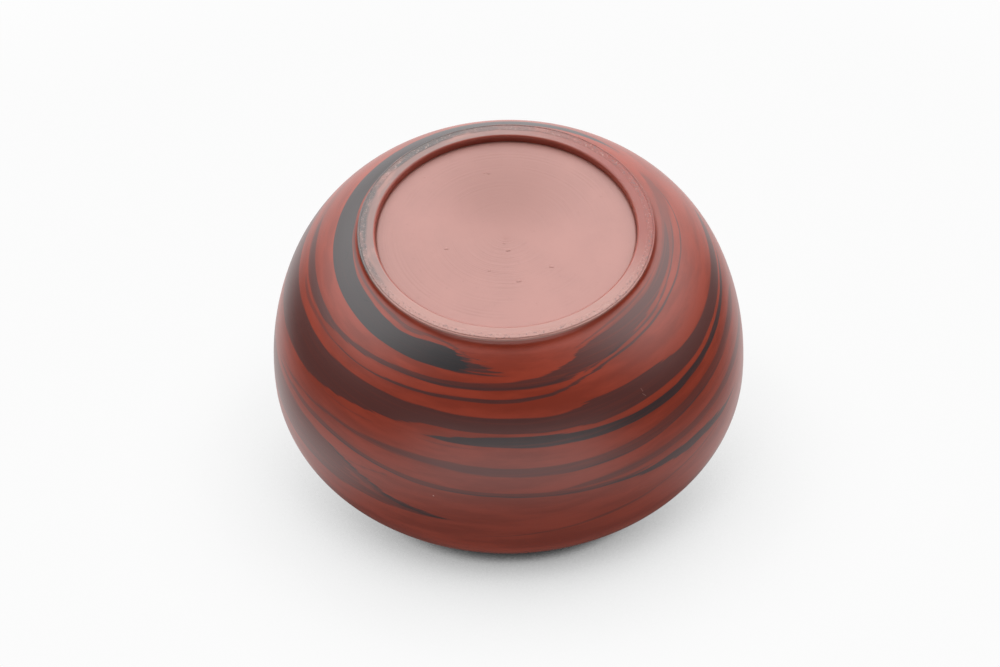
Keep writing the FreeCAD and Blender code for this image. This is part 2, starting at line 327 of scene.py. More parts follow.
# Streaks of clay laid over the red, with one line of painted shade drawn the same way, each as its
# clay colour, how much of it shows, how soft its edge is in mm, how far it frays into fibres, how many
# degrees its ends finger out, and stations along its middle: (bearing, distance up the wall in mm,
# width in mm).
STREAKS = [
    # Umber round the haunch, and the fine dark lines beside it.
    ("umber", 0.5, 1.4, 1.0, 4, [(-235, 12.0, 0.0), (-190, 13.5, 4.0), (-140, 18.0, 5.0),
                                 (-110, 17.5, 4.4), (-90, 17.3, 3.6), (-70, 17.0, 0.0)]),
    ("umber", 0.97, 0.4, 0.45, 3, [(-112, 17.0, 0.0), (-95, 17.2, 3.0), (-80, 17.0, 3.4),
                                   (-70, 16.6, 3.0), (-60, 15.9, 1.9), (-50, 14.9, 1.7),
                                   (-40, 14.0, 1.7), (-30, 13.3, 2.0), (-10, 12.3, 2.3),
                                   (0, 11.9, 2.6), (10, 11.3, 3.6), (17, 10.2, 4.4), (24, 8.2, 5.8),
                                   (30, 7.2, 6.4), (38, 6.5, 6.0), (48, 5.4, 5.0), (60, 4.6, 3.6),
                                   (80, 4.0, 2.6), (100, 3.6, 0.0)]),
    ("charcoal", 0.5, 0.4, 0.4, 3, [(-50, 15.2, 0.0), (-35, 14.2, 0.8), (-20, 13.2, 1.0),
                                    (0, 12.6, 1.0), (12, 12.2, 0.9), (22, 10.6, 0.9),
                                    (30, 9.8, 0.0)]),
    ("umber", 0.6, 0.4, 0.8, 3, [(-90, 19.5, 0.0), (-80, 20.0, 1.6), (-70, 19.3, 1.4),
                                 (-60, 19.0, 0.8), (-50, 18.6, 0.0)]),
    ("umber", 0.5, 0.9, 1.5, 5, [(26, 4.2, 0.0), (40, 4.0, 3.0), (60, 3.8, 3.4), (85, 4.2, 4.4),
                                 (110, 5.0, 4.4), (125, 5.6, 0.0)]),
    ("charcoal", 0.75, 0.3, 0.3, 2, [(-66, 19.1, 0.0), (-55, 18.7, 0.6), (-45, 18.3, 0.7),
                                     (-35, 17.5, 1.0), (-25, 16.9, 1.1), (-15, 16.2, 1.3),
                                     (-5, 16.0, 1.4), (5, 15.6, 1.3), (12, 15.0, 1.1),
                                     (18, 14.0, 1.0), (25, 12.4, 1.0), (32, 11.2, 0.9),
                                     (40, 10.5, 1.0), (57, 9.4, 1.0), (65, 8.9, 0.9), (95, 8.7, 0.7),
                                     (105, 8.0, 0.7), (120, 5.8, 0.0)]),
    ("charcoal", 0.65, 0.3, 0.3, 2, [(20, 12.4, 0.0), (26, 11.0, 0.7), (32, 10.0, 0.8),
                                     (40, 9.0, 0.8), (50, 8.3, 0.9), (57, 7.8, 0.9), (65, 7.0, 0.9),
                                     (75, 6.3, 0.8), (90, 6.0, 0.7), (104, 5.4, 0.0)]),
    # Thin umber in the cove under the foot ring, and painted shade: the cove's dark shadow line under
    # the ring's edge, drawn in the umber colour.
    ("umber", 0.8, 0.3, 0.6, 3, [(-110, 1.4, 0.0), (-95, 1.6, 0.8), (-80, 1.8, 1.0), (-60, 2.0, 0.9),
                                 (-48, 2.2, 1.1), (-38, 2.7, 1.3), (-28, 2.0, 0.9), (-20, 2.6, 0.8),
                                 (-12, 4.8, 0.6), (-5, 5.8, 0.0)]),
    # Painted shade: the cove's shadow line under the ring's edge on this side, drawn as an umber streak.
    ("umber", 0.7, 0.3, 0.4, 2, [(18, 5.6, 0.0), (30, 3.2, 0.8), (45, 2.1, 0.9), (60, 2.0, 0.8),
                                 (80, 2.0, 0.0)]),
    # The wide umber band and the charcoal ribbon under it.
    ("umber", 1.0, 0.35, 0.25, 3, [(-214, 30.0, 0.0), (-180, 29.5, 8.0), (-130, 29.2, 11.5),
                                   (-90, 29.6, 12.4), (-80, 29.0, 11.6), (-70, 28.5, 11.4),
                                   (-60, 27.6, 10.4), (-50, 26.3, 9.0), (-40, 25.1, 7.4),
                                   (-30, 24.0, 6.2), (-20, 22.9, 4.9), (0, 22.9, 4.8),
                                   (10, 23.2, 4.8), (17, 23.1, 5.0), (20, 22.9, 6.0),
                                   (23, 22.6, 7.2), (40, 22.6, 7.2), (46, 22.9, 6.7),
                                   (52, 23.5, 5.8), (60, 23.8, 5.2), (80, 23.3, 4.3),
                                   (100, 22.8, 3.6), (112, 22.4, 0.0)]),
    ("charcoal", 0.92, 0.3, 0.35, 3, [(-26, 28.6, 0.0), (-21, 28.5, 0.8), (-16, 28.1, 2.0),
                                      (-10, 27.7, 2.8), (-3, 27.6, 3.4), (5, 27.8, 3.6),
                                      (15, 28.3, 3.2), (25, 28.9, 3.0), (35, 29.3, 2.8),
                                      (45, 29.4, 2.9), (52, 29.0, 2.6), (60, 28.7, 2.3),
                                      (70, 27.9, 2.0), (80, 27.2, 1.7), (90, 26.5, 1.3),
                                      (104, 25.9, 0.0)]),
    ("umber", 0.4, 0.3, 0.6, 3, [(-62, 33.6, 0.0), (-50, 32.6, 0.7), (-42, 31.8, 0.7),
                                 (-32, 30.4, 0.0)]),
    ("umber", 0.4, 0.4, 0.8, 3, [(-27, 30.0, 0.0), (-18, 30.1, 0.9), (-6, 29.8, 0.0)]),
    # Softer bands round the belly.
    ("umber", 0.8, 0.7, 0.6, 3, [(-80, 43.0, 0.0), (-70, 41.6, 1.3), (-60, 39.8, 1.5),
                                  (-50, 38.1, 1.6), (-40, 37.2, 2.0), (-30, 36.5, 2.6),
                                  (-20, 36.1, 2.8), (-10, 36.5, 3.4), (0, 37.0, 3.7),
                                  (20, 37.5, 3.5), (40, 36.7, 3.8), (60, 35.3, 3.8),
                                  (80, 33.8, 4.4), (92, 33.2, 0.0)]),
    ("charcoal", 0.6, 0.3, 0.4, 2, [(6, 38.8, 0.0), (20, 38.9, 0.8), (32, 38.8, 0.9),
                                    (42, 38.2, 0.9), (52, 37.4, 0.9), (62, 36.9, 0.8),
                                    (76, 36.2, 0.0)]),
    ("umber", 0.75, 0.35, 0.5, 3, [(-84, 45.5, 0.0), (-74, 44.6, 1.1), (-62, 43.2, 1.7),
                                   (-50, 42.8, 1.8), (-40, 43.2, 1.8), (-30, 43.8, 1.8),
                                   (-10, 44.4, 1.6), (0, 44.7, 1.6), (10, 45.2, 1.7),
                                   (20, 46.2, 1.3), (30, 47.0, 1.0), (40, 47.4, 0.0)]),
    ("charcoal", 0.55, 0.25, 0.3, 2, [(-70, 44.4, 0.0), (-60, 43.9, 0.7), (-48, 43.5, 0.8),
                                      (-36, 43.9, 0.7), (-24, 44.8, 0.6), (-8, 45.0, 0.7),
                                      (6, 45.6, 0.7), (18, 46.6, 0.8), (26, 47.1, 0.7),
                                      (34, 47.4, 0.0)]),
    ("umber", 0.75, 0.6, 0.8, 4, [(8, 44.4, 0.0), (20, 44.3, 2.2), (35, 44.4, 3.0), (50, 44.5, 3.0),
                                 (65, 44.4, 3.4), (80, 44.4, 4.2), (95, 44.2, 0.0)]),
    ("charcoal", 0.85, 0.4, 0.7, 3, [(18, 46.5, 0.0), (28, 47.7, 1.2), (34, 48.6, 2.0),
                                     (40, 49.1, 2.7), (45, 49.9, 3.4), (50, 50.2, 3.4),
                                     (56, 51.0, 3.2), (62, 52.3, 2.0), (68, 52.5, 1.0),
                                     (74, 52.6, 0.0)]),
    ("umber", 0.6, 0.25, 0.3, 2, [(-12, 61.6, 0.0), (0, 60.4, 0.6), (12, 59.2, 0.7),
                                  (22, 58.2, 1.3), (32, 57.4, 0.9), (42, 56.0, 0.7),
                                  (54, 54.8, 0.8), (66, 53.3, 0.0)]),
    # The umber patch over the shoulder, folded in with its dark edge.
    ("umber", 0.8, 0.5, 0.8, 4, [(-176, 51.0, 0.0), (-140, 51.8, 8.0), (-100, 53.0, 11.6),
                                 (-80, 53.0, 11.0), (-70, 52.8, 11.6), (-60, 52.8, 12.0),
                                 (-50, 52.9, 11.4), (-44, 53.6, 9.8), (-38, 54.6, 7.2),
                                 (-30, 55.4, 3.8), (-22, 55.8, 2.0), (-14, 55.7, 0.0)]),
    ("red", 0.5, 0.5, 0.8, 3, [(-46, 51.0, 0.0), (-40, 52.6, 1.6), (-34, 54.4, 1.4),
                               (-29, 55.6, 0.0)]),
    ("charcoal", 0.75, 0.3, 0.4, 3, [(-52, 47.2, 0.0), (-46, 48.5, 0.9), (-40, 50.3, 1.1),
                                     (-35, 51.9, 1.2), (-30, 53.9, 1.4), (-25, 54.8, 1.8),
                                     (-20, 55.4, 1.6), (-13, 55.7, 0.0)]),
    ("umber", 0.5, 0.3, 0.4, 2, [(-46, 49.0, 0.0), (-40, 48.2, 0.7), (-34, 46.7, 0.8),
                                 (-27, 45.2, 0.0)]),
    # The far side, the shoulder and the inside.
    ("umber", 0.8, 0.9, 1.2, 4, [(-222, 46.0, 0.0), (-195, 44.4, 5.0), (-165, 42.8, 7.0),
                                 (-134, 42.0, 5.0), (-106, 42.8, 0.0)]),
    ("charcoal", 0.7, 0.5, 0.8, 4, [(-216, 38.0, 0.0), (-180, 38.6, 1.8), (-140, 37.2, 1.6),
                                    (-100, 38.4, 0.0)]),
    ("umber", 0.55, 1.2, 1.5, 6, [(-120, 72.0, 0.0), (-60, 71.0, 4.0), (0, 74.0, 3.0),
                                  (50, 73.0, 4.0), (110, 70.0, 0.0)]),
    ("charcoal", 0.5, 0.8, 1.0, 4, [(-230, 78.0, 0.0), (-170, 76.0, 2.2), (-110, 80.0, 1.8),
                                    (-60, 82.0, 0.0)]),
    # The charcoal band round the foot, with its torn end.
    ("umber", 0.5, 0.5, 1.0, 5, [(-24, 5.0, 0.0), (-17, 5.4, 3.6), (-12, 6.4, 2.6), (-5, 6.8, 0.0)]),
    ("charcoal", 0.97, 0.25, 0.06, 2.5, [(-226, 7.2, 0.0), (-200, 6.4, 4.4), (-150, 5.0, 6.2),
                                        (-130, 4.8, 6.4), (-100, 4.9, 6.5), (-90, 5.2, 6.3),
                                        (-80, 5.5, 6.4), (-70, 5.9, 6.2), (-60, 6.1, 6.2),
                                        (-50, 6.5, 6.0), (-40, 6.75, 5.5), (-30, 6.4, 6.2),
                                        (-23, 6.1, 6.3), (-19, 6.3, 5.6), (-16, 6.9, 3.4),
                                        (-13, 7.6, 0.0)]),
    ("charcoal", 0.75, 0.4, 1.3, 4, [(-30, 6.3, 0.0), (-24, 6.1, 5.0), (-17, 6.4, 5.4),
                                     (-12, 7.2, 3.0), (-6, 8.0, 1.4), (0, 8.6, 0.0)]),
    ("charcoal", 0.8, 0.25, 0.3, 2, [(-22, 8.9, 0.0), (-17, 8.8, 1.2), (-12, 8.9, 0.8),
                                     (-6, 9.1, 0.6), (2, 9.2, 0.0)]),
]

WIDEST_HALF = 10.0  # widest half width of a streak, in mm
LOOSE = 0.4  # how far a fully frayed edge strays, as a share of the streak's half width


def streak_mask(tree, bearing, distance, fibres, strands, streak):
    """How much of a streak's clay shows at a point of the wall."""
    shows, soft, frayed, fingers, stations = streak[1:]
    start, end = stations[0][0], stations[-1][0]
    torn = add(tree, "ShaderNodeMath", [strands, fingers, bearing], operation="MULTIPLY_ADD")
    along = add(tree, "ShaderNodeMapRange", [torn, start, end])
    lines = []
    for column, most in ((1, UNROLLED), (2, 2 * WIDEST_HALF)):
        line = add(tree, "ShaderNodeFloatCurve", {"Value": along})
        points = line.mapping.curves[0].points
        while len(points) < len(stations):
            points.new(0.5, 0.5)
        for point, station in zip(points, stations):
            point.location = ((station[0] - start) / (end - start), station[column] / most)
            point.handle_type = "AUTO_CLAMPED"
        line.mapping.update()
        lines.append(line)
    middle = add(tree, "ShaderNodeMath", [lines[0], UNROLLED], operation="MULTIPLY")
    away = add(tree, "ShaderNodeMath", [distance, middle], operation="SUBTRACT")
    away = add(tree, "ShaderNodeMath", [away], operation="ABSOLUTE")
    stray = add(tree, "ShaderNodeMath", [fibres, WIDEST_HALF * LOOSE * frayed, WIDEST_HALF],
                operation="MULTIPLY_ADD")
    half = add(tree, "ShaderNodeMath", [lines[1], stray], operation="MULTIPLY")
    inside = add(tree, "ShaderNodeMath", [half, away], operation="SUBTRACT")
    cover = add(tree, "ShaderNodeMapRange", [inside, 0.0, soft, 0.0, shows], **EASY)
    least = 1.0 - 0.45 * min(1.0, frayed)
    thin = add(tree, "ShaderNodeMapRange", [strands, 0.05, 0.5, 1.0, least], **EASY)
    return add(tree, "ShaderNodeMath", [cover, thin], operation="MULTIPLY")


# Small marks: a colour, a width in mm, and points (bearing, distance up the wall in mm).
MARKS = [
    ("#7E5C54", 0.13, [(37.3, 22.6), (37.5, 23.6)]),
    ("#7E5C54", 0.13, [(37.2, 24.2), (37.9, 25.3)]),
    ("#1E1A1A", 0.28, [(-83.5, 3.4), (-82.2, 3.6), (-81.0, 4.6)]),
    ("#1E1A1A", 0.2, [(-83.5, 3.4), (-84.6, 4.4)]),
    ("#1E1A1A", 0.24, [(-60.2, 4.4), (-58.6, 3.8)]),
    ("#B89488", 0.2, [(-18.8, 47.6), (-18.7, 47.7)]),
]
MM_A_DEGREE = 0.87  # mean length of one degree of bearing where the marks lie, in mm


def stroke(tree, bearing, distance, start, end, width):
    """How much a short straight mark covers a point of the wall."""
    across = add(tree, "ShaderNodeMath", [bearing, MM_A_DEGREE], operation="MULTIPLY")
    place = add(tree, "ShaderNodeCombineXYZ", [across, distance])
    first = (start[0] * MM_A_DEGREE, start[1], 0)
    step = ((end[0] - start[0]) * MM_A_DEGREE, end[1] - start[1], 0)
    off_start = add(tree, "ShaderNodeVectorMath", [place, first], operation="SUBTRACT")
    along = add(tree, "ShaderNodeVectorMath", [off_start, step], operation="DOT_PRODUCT")
    share = add(tree, "ShaderNodeMath", [along, step[0] ** 2 + step[1] ** 2], operation="DIVIDE",
                use_clamp=True)
    foot = add(tree, "ShaderNodeVectorMath", {0: step, "Scale": share}, operation="SCALE")
    gap = add(tree, "ShaderNodeVectorMath", [off_start, foot], operation="DISTANCE")
    return add(tree, "ShaderNodeMapRange", [gap, width * 0.3, width * 0.8, 0.85, 0.0], **EASY)


# Patterns in the wall's clay: the radius they lie at, the length round the bowl and the width up the
# wall of one grain, in mm, then the noise's detail and roughness. Smeared clay is really a web of
# fibres about 0.1 mm wide, the burnishing stone's marks are finer still, and a pit in a worn foot is
# 0.2 mm across. None of those would show, so all of them are drawn three to seven times as coarse.
GRAINS = {
    "drift": (70.0, 43.75, 6.25, 3.0, 0.5),  # slow wander of the streaks
    "cloud": (70.0, 29.17, 4.167, 4.0, 0.6),  # places where the red is deeper
    "fibre": (70.0, 31.82, 0.7143, 4.0, 0.55),  # frayed edges of the streaks
    "strand": (70.0, 43.75, 0.5882, 3.0, 0.65),  # torn ends of the streaks
    "rubbing": (70.0, 11.67, 0.3333, 5.0, 0.6),  # marks of the burnishing stone
    "wear": (40.0, 13.33, 3.333, 3.0, 0.6),  # patches on the foot ring
    "pits": (40.0, 0.9524, 0.7143, 4.0, 0.7),  # pits and chalky spots on the foot ring
}


def worn_ring(tree, bearing, distance, grains, colour):
    """Foot ring: smooth inside, worn and chipped outside, with dark clay across one side of it, and
    painted shade on the recess wall inside the ring.

    The limits here are distances in mm from the ring's outer edge, which run negative inwards, and
    bearings in degrees.
    """
    edge = add(tree, "ShaderNodeMath", [grains["wear"], 1.2, -0.6], operation="MULTIPLY_ADD")
    across = add(tree, "ShaderNodeMath", [distance, edge], operation="ADD")
    masks = []
    for place, rise, fall in ((distance, (-5.6, -5.0), (-0.4, 0.1)),
                              (across, (-3.4, -2.9), (-1.1, -0.7)),
                              (bearing, (-235, -150), (-75, -45))):
        begun = add(tree, "ShaderNodeMapRange", [place, *rise], **EASY)
        ended = add(tree, "ShaderNodeMapRange", [place, *fall, 1.0, 0.0], **EASY)
        masks.append(add(tree, "ShaderNodeMath", [begun, ended], operation="MULTIPLY"))
    on_ring, outer, dark = masks
    patches = add(tree, "ShaderNodeMapRange", [grains["wear"], 0.3, 0.55, 0.35, 1.0], **EASY)
    dark = add(tree, "ShaderNodeMath", [dark, patches], operation="MULTIPLY")
    outwards = add(tree, "ShaderNodeMapRange", [across, -3.6, -2.8, 0.5, 1.0], **EASY)
    dark = add(tree, "ShaderNodeMath", [dark, outwards], operation="MULTIPLY")
    redder = add(tree, "ShaderNodeMapRange", [bearing, 45, 90], **EASY)
    behind = add(tree, "ShaderNodeMapRange", [bearing, -235, -160, 1.0, 0.0], **EASY)
    redder = add(tree, "ShaderNodeMath", [redder, behind], operation="MAXIMUM")
    pitted = add(tree, "ShaderNodeMapRange", [grains["pits"], 0.56, 0.64, 0.0, 0.8], **EASY)
    pitted = add(tree, "ShaderNodeMath", [outer, pitted], operation="MULTIPLY")
    chalky = add(tree, "ShaderNodeMapRange", [grains["pits"], 0.34, 0.44, 0.5, 0.0], **EASY)
    chalky = add(tree, "ShaderNodeMath", [outer, chalky], operation="MULTIPLY")
    # Painted shade: the recess wall under the ring's inner edge is painted a deeper red than the ring,
    # for the shade in the recess.
    recess = add(tree, "ShaderNodeMapRange", [distance, -5.8, -5.1, 1.0, 0.0], **EASY)
    ring = add(tree, "ShaderNodeMix", {0: redder, 6: linear("#8E635A"), 7: linear("#76281A")},
               data_type="RGBA")
    ring = add(tree, "ShaderNodeMix", {0: dark, 6: ring, 7: linear("#48403F")}, data_type="RGBA")
    ring = add(tree, "ShaderNodeMix", {0: on_ring, 6: colour, 7: ring}, data_type="RGBA")
    for share, shade in ((pitted, "#553E3C"), (chalky, "#9A7C72"), (recess, "#84382A")):
        ring = add(tree, "ShaderNodeMix", {0: share, 6: ring, 7: linear(shade)}, data_type="RGBA")
    worn = add(tree, "ShaderNodeMath", [outer, grains["pits"]], operation="MULTIPLY")
    return ring, worn


def burnished_marbled_clay(clays):
    """Marbled earthenware, burnished with a smooth stone and fired without glaze.

    Gives the eye a close satin skin with soft wide highlights, and dark clays that run through the red
    in long streaks, crisp where a clay was folded in thick and smoky where the clays were smeared.
    """
    material, tree = new_material("burnished_marbled_clay")
    unrolled = add(tree, "ShaderNodeAttribute", attribute_name="unrolled").outputs["Vector"]
    around = add(tree, "ShaderNodeAttribute", attribute_name="around").outputs["Vector"]
    place = add(tree, "ShaderNodeSeparateXYZ", [unrolled])
    bearing = add(tree, "ShaderNodeMath", [place.outputs[0], UNROLLED], operation="MULTIPLY")
    distance = add(tree, "ShaderNodeMath", [place.outputs[1], UNROLLED], operation="MULTIPLY")
    grains = {}
    for name, (radius, long, wide, detail, rough) in GRAINS.items():
        scale = (radius / long, radius / long, AROUND / wide)
        stretched = add(tree, "ShaderNodeVectorMath", [around, scale], operation="MULTIPLY")
        grains[name] = add(tree, "ShaderNodeTexNoise", {
            "Vector": stretched, "Scale": 1.0, "Detail": detail, "Roughness": rough})
    wander = add(tree, "ShaderNodeMath", [grains["drift"], 0.8, -0.4], operation="MULTIPLY_ADD")
    warped = add(tree, "ShaderNodeMath", [distance, wander], operation="ADD")
    fibres = add(tree, "ShaderNodeMath", [grains["fibre"], 2.0, -1.0], operation="MULTIPLY_ADD")
    strands = add(tree, "ShaderNodeMath", [grains["strand"], 4.0, -2.0], operation="MULTIPLY_ADD")
    tones = {name: linear(getattr(clays, name)) for name in ("red", "red_deep", "umber", "charcoal")}
    deeper = add(tree, "ShaderNodeMapRange", [grains["cloud"], 0.35, 0.65], **EASY)
    colour = add(tree, "ShaderNodeMix", {0: deeper, 6: tones["red"], 7: tones["red_deep"]},
                 data_type="RGBA")
    for streak in STREAKS:
        mask = streak_mask(tree, bearing, warped, fibres, strands, streak)
        colour = add(tree, "ShaderNodeMix", {0: mask, 6: colour, 7: tones[streak[0]]}, data_type="RGBA")
    for shade, width, stations in MARKS:
        for start, end in zip(stations, stations[1:]):
            mask = stroke(tree, bearing, distance, start, end, width)
            colour = add(tree, "ShaderNodeMix", {0: mask, 6: colour, 7: linear(shade)}, data_type="RGBA")
    colour, worn = worn_ring(tree, bearing, distance, grains, colour)
    bump = add(tree, "ShaderNodeBump", {
        "Height": grains["rubbing"], "Strength": 0.12, "Distance": 0.2 * MM})
    bump = add(tree, "ShaderNodeBump", {
        "Height": worn, "Strength": 0.6, "Distance": 0.3 * MM, "Normal": bump})
    shader = add(tree, "ShaderNodeBsdfPrincipled", {
        "Base Color": colour, "Roughness": clays.gloss, "IOR": 1.5, "Normal": bump})
    add(tree, "ShaderNodeOutputMaterial", {"Surface": shader})
    return material


# Sizes of the patterns in the base disc, in mm. The turning tool leaves rings about 0.3 mm apart and
# the clay's dark grit is about 0.2 mm across. Both are drawn coarser than that, so that they show.
TURNING_RINGS = 1.111
BASE_CLOUDS = 22.22
DARK_GRIT = 1.4286
ROSY_PATCH = (-1.0, 17.0, 2.0)  # middle of the redder patch


def smoothed_base_clay(clays):
    """Plain red clay, wiped smooth on the wheel and left matt.

    Gives the eye a chalky pink-red disc with faint rings from the turning tool.
    """
    material, tree = new_material("smoothed_base_clay")
    place = add(tree, "ShaderNodeTexCoord").outputs["Object"]
    flat = add(tree, "ShaderNodeVectorMath", [place, (1 / MM, 1 / MM, 0.0)], operation="MULTIPLY")
    radius = add(tree, "ShaderNodeVectorMath", [flat], operation="LENGTH")
    radius = add(tree, "ShaderNodeMath", [radius, TURNING_RINGS], operation="DIVIDE")
    out = add(tree, "ShaderNodeCombineXYZ", [radius])
    rings = add(tree, "ShaderNodeTexNoise", {
        "Vector": out, "Scale": 1.0, "Detail": 3.0, "Roughness": 0.6})
    cloud = add(tree, "ShaderNodeTexNoise", {
        "Vector": place, "Scale": 1 / (BASE_CLOUDS * MM), "Detail": 5.0, "Roughness": 0.6})
    grit = add(tree, "ShaderNodeTexNoise", {
        "Vector": place, "Scale": 1 / (DARK_GRIT * MM), "Detail": 2.0, "Roughness": 0.5})
    clouded = add(tree, "ShaderNodeMapRange", [cloud, 0.3, 0.7], **EASY)
    gap = add(tree, "ShaderNodeVectorMath", [place, Vector(ROSY_PATCH) * MM], operation="DISTANCE")
    rosy = add(tree, "ShaderNodeMapRange", [gap, 3 * MM, 27 * MM, 0.8, 0.0], **EASY)
    gritty = add(tree, "ShaderNodeMapRange", [grit, 0.68, 0.74, 0.0, 0.2], **EASY)
    colour = linear(clays.base)
    darker = [value * 0.9 for value in colour[:3]] + [1.0]
    for share, shade in ((clouded, darker), (rosy, linear("#7C4D44")), (gritty, linear("#7A5048"))):
        colour = add(tree, "ShaderNodeMix", {0: share, 6: colour, 7: shade}, data_type="RGBA")
    depth = add(tree, "ShaderNodeMapRange", [cloud, 0.4, 0.65, 0.05, 0.4], **EASY)
    bump = add(tree, "ShaderNodeBump", {"Height": rings, "Distance": 0.5 * MM, "Strength": depth})
    shader = add(tree, "ShaderNodeBsdfPrincipled", {
        "Base Color": colour, "Roughness": 0.45, "IOR": 1.5, "Normal": bump})
    add(tree, "ShaderNodeOutputMaterial", {"Surface": shader})
    return material


# The stage.


def view_axes(look):
    """Right, up and back of the camera, and the floor's upward direction, for the turned-over bowl."""
    away = Vector((-math.sin(look.bearing), math.cos(look.bearing), 0))
    right = Vector((-math.cos(look.bearing), -math.sin(look.bearing), 0))
    foot = Vector((0, 0, -1))
    up = away * math.cos(look.tilt) + foot * math.sin(look.tilt)
    back = foot * math.cos(look.tilt) - away * math.sin(look.tilt)
    above = foot * math.cos(look.lean) + away * math.sin(look.lean)
    return right, up, back, above


# The tables, in metres.
TABLE_RADIUS = 0.6
FADE = (0.30, 0.55)  # where the paper fades out into the white room, from its middle
BOWL_MIDDLE = (0, 0, 0.055)
NEAR_BOWL = (0.13, 0.19)  # where the bowl's shade on the paper dies away, from the bowl's middle
WIDE_SHADE, CONTACT_SHADE = 0.055, 0.006  # how far the bowl's soft shade and its contact line reach
PAPER = 0.97  # how bright the bare paper is


def pale_table(name, held):
    """White paper sweep that glows by its own light, seen from its upper side alone, with painted shade
    where the bowl comes close.

    Gives the eye a plain pale floor with a soft painted shadow under the bowl. The burnished clay
    mirrors it within the held radius, where the bowl stands on it, as a painted reflection at a fifth
    of the paper's brightness, darkened for the shade under the bowl.
    """
    material, tree = new_material(name)
    path = add(tree, "ShaderNodeLightPath").outputs
    face = add(tree, "ShaderNodeNewGeometry").outputs
    place = add(tree, "ShaderNodeTexCoord").outputs["Object"]
    gap = add(tree, "ShaderNodeVectorMath", [place], operation="LENGTH")
    shown = add(tree, "ShaderNodeMapRange", [gap, *FADE, 1.0, 0.0], **EASY)
    shown = add(tree, "ShaderNodeMath", [shown, path["Is Camera Ray"]], operation="MULTIPLY")
    mirrored = add(tree, "ShaderNodeMapRange", [gap, held, held * 1.8 + 0.001, 1.0, 0.0], **EASY)
    mirrored = add(tree, "ShaderNodeMath", [mirrored, path["Is Glossy Ray"]], operation="MULTIPLY")
    front = add(tree, "ShaderNodeMath", [1.0, face["Backfacing"]], operation="SUBTRACT")
    share = add(tree, "ShaderNodeMath", [shown, mirrored], operation="ADD")
    share = add(tree, "ShaderNodeMath", [front, share], operation="MULTIPLY")
    off_bowl = add(tree, "ShaderNodeVectorMath", [face["Position"], BOWL_MIDDLE], operation="DISTANCE")
    nearby = add(tree, "ShaderNodeMapRange", [off_bowl, *NEAR_BOWL, 1.0, 0.0], **EASY)
    # Painted shadow: the paper's own glow is darkened where ambient occlusion finds the bowl close.
    wide = add(tree, "ShaderNodeAmbientOcclusion", {"Distance": WIDE_SHADE}, samples=8).outputs["AO"]
    shade = add(tree, "ShaderNodeMath", [1.0, wide], operation="SUBTRACT")
    shade = add(tree, "ShaderNodeMath", [shade, 2.1], operation="POWER")
    shade = add(tree, "ShaderNodeMath", [shade, nearby], operation="MULTIPLY")
    light = add(tree, "ShaderNodeMath", [shade, -PAPER, PAPER], operation="MULTIPLY_ADD")
    tight = add(tree, "ShaderNodeAmbientOcclusion", {"Distance": CONTACT_SHADE}, samples=8).outputs["AO"]
    pinch = add(tree, "ShaderNodeMapRange", [tight, 0.2, 0.6, PAPER, 0.0], **EASY)
    pinch = add(tree, "ShaderNodeMath", [pinch, nearby], operation="MULTIPLY")
    pinch = add(tree, "ShaderNodeMath", [1.0, pinch], operation="SUBTRACT")
    light = add(tree, "ShaderNodeMath", [light, pinch], operation="MULTIPLY")
    # Painted reflection: rays that are not the camera's see the paper at a fifth of its brightness, for
    # the shaded paper under the bowl.
    seen = add(tree, "ShaderNodeMath", [path["Is Camera Ray"], 0.8, 0.2], operation="MULTIPLY_ADD")
    light = add(tree, "ShaderNodeMath", [light, seen], operation="MULTIPLY")
    paper = add(tree, "ShaderNodeEmission", {"Strength": light})
    clear = add(tree, "ShaderNodeBsdfTransparent")
    sweep = add(tree, "ShaderNodeMixShader", [share, clear, paper])
    add(tree, "ShaderNodeOutputMaterial", {"Surface": sweep})
    return material


def table(name, place, above, held):
    """Round table top through a point, facing one way."""
    mesh = bpy.data.meshes.new(name)
    turns = [i * math.pi / 32 for i in range(64)]
    rim = [(TABLE_RADIUS * math.cos(turn), TABLE_RADIUS * math.sin(turn), 0) for turn in turns]
    mesh.from_pydata(rim, [], [tuple(range(64))])
    mesh.materials.append(pale_table("white_paper_" + name, held))
    board = bpy.data.objects.new(name, mesh)
    board.matrix_world = Matrix.Translation(place) @ above.to_track_quat("Z", "Y").to_matrix().to_4x4()
    bpy.context.scene.collection.objects.link(board)


# The soft box over the bowl: how far it leans away from the camera, where its edge and its full part
# lie from its middle, in degrees, and its light.
BOX_LEAN, BOX_EDGE, BOX_FULL = (math.radians(angle) for angle in (24, 36, 20))
BOX_LIGHT = 2.8


